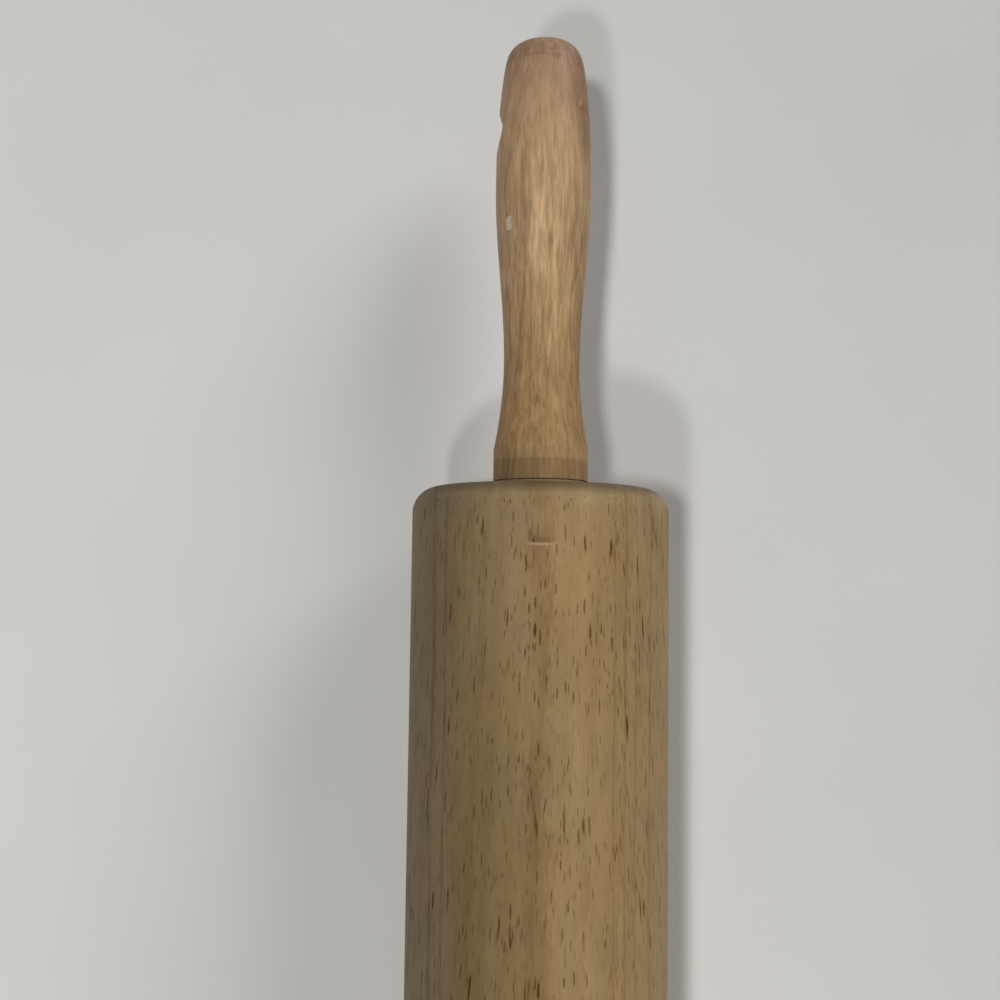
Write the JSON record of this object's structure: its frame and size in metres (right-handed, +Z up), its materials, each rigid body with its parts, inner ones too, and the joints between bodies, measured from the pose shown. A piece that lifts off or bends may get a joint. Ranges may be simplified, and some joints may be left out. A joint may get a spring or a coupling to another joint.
{
  "type": "rolling pin",
  "caption": "Wooden rolling pin: a turned barrel with rounded ends that spins on ball bearings between waisted wooden handles on a steel axle.",
  "frame": {"origin": "on the worktop, under the middle of the barrel", "axes": "+X along the pin toward the pictured, dented handle; +Y across the pin, to the left when looking along +X; +Z up"},
  "size_m": [0.58, 0.0698, 0.0699],
  "materials": {
    "barrel_wood": "satin, open-pored pale hardwood",
    "handle_wood": "satin, warmer piece of the same hardwood",
    "axle_steel": "drawn rod",
    "zinc_steel": "zinc plated",
    "bearing_steel": "ground and polished",
    "cage_nylon": "moulded nylon",
    "washer_nylon": "moulded tan nylon"
  },
  "bodies": {
    "grips": {"axle_rod": "axle_steel", "handle_left": "handle_wood", "handle_right": "handle_wood", "threaded_insert_left": "zinc_steel", "threaded_insert_right": "zinc_steel", "spacer_washer_left": "washer_nylon", "spacer_washer_right": "washer_nylon", "bearing_inner_ring_left": "bearing_steel", "bearing_inner_ring_right": "bearing_steel"},
    "barrel": {"barrel": "barrel_wood", "bearing_outer_ring_left": "bearing_steel", "bearing_outer_ring_right": "bearing_steel", "bearing_shield_inner_left": "zinc_steel", "bearing_shield_inner_right": "zinc_steel", "bearing_shield_outer_left": "zinc_steel", "bearing_shield_outer_right": "zinc_steel"},
    "cage_left": {"bearing_cage_left": "cage_nylon", "bearing_ball_left_1": "bearing_steel", "bearing_ball_left_2": "bearing_steel", "bearing_ball_left_3": "bearing_steel", "bearing_ball_left_4": "bearing_steel", "bearing_ball_left_5": "bearing_steel", "bearing_ball_left_6": "bearing_steel", "bearing_ball_left_7": "bearing_steel"},
    "cage_right": {"bearing_cage_right": "cage_nylon", "bearing_ball_right_1": "bearing_steel", "bearing_ball_right_2": "bearing_steel", "bearing_ball_right_3": "bearing_steel", "bearing_ball_right_4": "bearing_steel", "bearing_ball_right_5": "bearing_steel", "bearing_ball_right_6": "bearing_steel", "bearing_ball_right_7": "bearing_steel"}
  },
  "joints": [
    {"name": "barrel_spin", "type": "hinge", "parent": "grips", "child": "barrel", "pos_m": [0, 0, 0.03492], "axis": [1, 0, 0], "continuous": true},
    {"name": "cage_left_spin", "type": "hinge", "parent": "grips", "child": "cage_left", "pos_m": [-0.161, 0, 0.03492], "axis": [1, 0, 0], "continuous": true},
    {"name": "cage_right_spin", "type": "hinge", "parent": "grips", "child": "cage_right", "pos_m": [0.161, 0, 0.03492], "axis": [1, 0, 0], "continuous": true}
  ],
  "couplings": [
    {"joint": "cage_left_spin", "follows": "barrel_spin", "ratio": 0.63333},
    {"joint": "cage_right_spin", "follows": "barrel_spin", "ratio": 0.63333}
  ]
}
